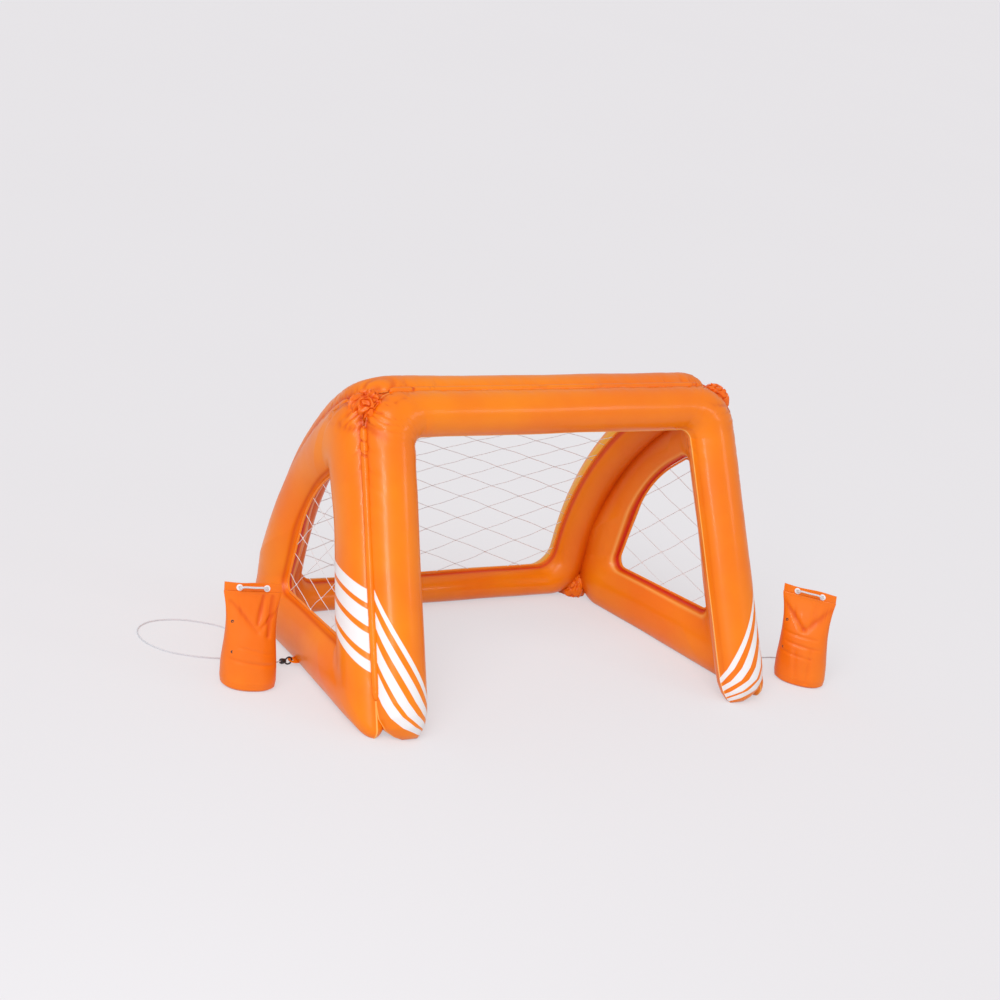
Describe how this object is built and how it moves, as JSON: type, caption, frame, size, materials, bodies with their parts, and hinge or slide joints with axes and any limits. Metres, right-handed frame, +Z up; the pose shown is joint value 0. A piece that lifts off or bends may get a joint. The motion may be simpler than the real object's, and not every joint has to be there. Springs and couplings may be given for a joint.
{
  "type": "inflatable water polo goal",
  "caption": "Orange inflatable water polo goal with white nets, black clips and two water-filled ballast bags on cords.",
  "frame": {"origin": "on the ground under the middle of the goal", "axes": "+X to the right of a player who looks into the goal, +Y from the mouth to the back, +Z up"},
  "size_m": [1.9232, 0.893, 0.8233],
  "materials": {
    "vinyl": "smooth welded vinyl film, soft gloss",
    "dark_vinyl": "crumpled vinyl film, deeper orange",
    "bag_vinyl": "thin vinyl film with folds",
    "net": "white polyester mesh",
    "cord": "pale grey cord",
    "white_plastic": "smooth",
    "black_plastic": "satin",
    "soft_vinyl": "clear soft vinyl, orange tinted"
  },
  "bodies": {
    "goal": {"front_arch": "vinyl", "left_side_frame": "vinyl", "right_side_frame": "vinyl", "back_frame": "vinyl", "left_net": "net", "right_net": "net", "back_net": "net", "left_top_gusset": "dark_vinyl", "left_rear_gusset": "dark_vinyl", "right_top_gusset": "dark_vinyl", "right_rear_gusset": "dark_vinyl", "left_front_weld": "vinyl", "left_rear_weld": "vinyl", "right_front_weld": "vinyl", "right_rear_weld": "vinyl", "top_weld": "vinyl", "arch_valve_seat": "soft_vinyl", "left_valve_seat": "soft_vinyl", "right_valve_seat": "soft_vinyl", "back_valve_seat": "soft_vinyl", "left_tie_tab": "dark_vinyl", "left_cord_clip": "black_plastic", "right_tie_tab": "dark_vinyl", "right_cord_clip": "black_plastic", "left_bag_shell": "bag_vinyl", "left_bag_fold": "bag_vinyl", "left_bag_inner_eyelet": "white_plastic", "left_bag_outer_eyelet": "white_plastic", "left_bag_handle": "white_plastic", "left_bag_lower_stud": "black_plastic", "left_bag_upper_stud": "black_plastic", "left_bag_valve_seat": "soft_vinyl", "left_bag_tie_tab": "bag_vinyl", "left_bag_cord_clip": "black_plastic", "right_bag_shell": "bag_vinyl", "right_bag_fold": "bag_vinyl", "right_bag_inner_eyelet": "white_plastic", "right_bag_outer_eyelet": "white_plastic", "right_bag_handle": "white_plastic", "right_bag_lower_stud": "black_plastic", "right_bag_upper_stud": "black_plastic", "right_bag_valve_seat": "soft_vinyl", "right_bag_tie_tab": "bag_vinyl", "right_bag_cord_clip": "black_plastic", "left_tether": "cord", "right_tether": "cord"},
    "arch_stopper": {"arch_valve_stopper": "soft_vinyl"},
    "left_stopper": {"left_valve_stopper": "soft_vinyl"},
    "right_stopper": {"right_valve_stopper": "soft_vinyl"},
    "back_stopper": {"back_valve_stopper": "soft_vinyl"},
    "left_bag_stopper": {"left_bag_valve_stopper": "soft_vinyl"},
    "right_bag_stopper": {"right_bag_valve_stopper": "soft_vinyl"}
  },
  "joints": [
    {"name": "arch_stopper_hinge", "type": "hinge", "parent": "goal", "child": "arch_stopper", "pos_m": [0.545, -0.12532, 0.42733], "axis": [1, 0, 0], "range_deg": [0, 95]},
    {"name": "left_stopper_hinge", "type": "hinge", "parent": "goal", "child": "left_stopper", "pos_m": [-0.57617, -0.15347, 0.31536], "axis": [-0.1234, -0.9924, 0], "range_deg": [0, 95]},
    {"name": "right_stopper_hinge", "type": "hinge", "parent": "goal", "child": "right_stopper", "pos_m": [0.57617, -0.15347, 0.31536], "axis": [-0.1234, 0.9924, 0], "range_deg": [0, 95]},
    {"name": "back_stopper_hinge", "type": "hinge", "parent": "goal", "child": "back_stopper", "pos_m": [0.0145, 0.44499, 0.0439], "axis": [0, 0.0633, -0.998], "range_deg": [0, 95]},
    {"name": "left_bag_stopper_hinge", "type": "hinge", "parent": "goal", "child": "left_bag_stopper", "pos_m": [-0.83075, 0.02106, 0.15007], "axis": [0.9703, -0.2419, 0], "range_deg": [0, 95]},
    {"name": "right_bag_stopper_hinge", "type": "hinge", "parent": "goal", "child": "right_bag_stopper", "pos_m": [0.89622, -0.2902, 0.15007], "axis": [0.6947, -0.7193, 0], "range_deg": [0, 95]}
  ]
}
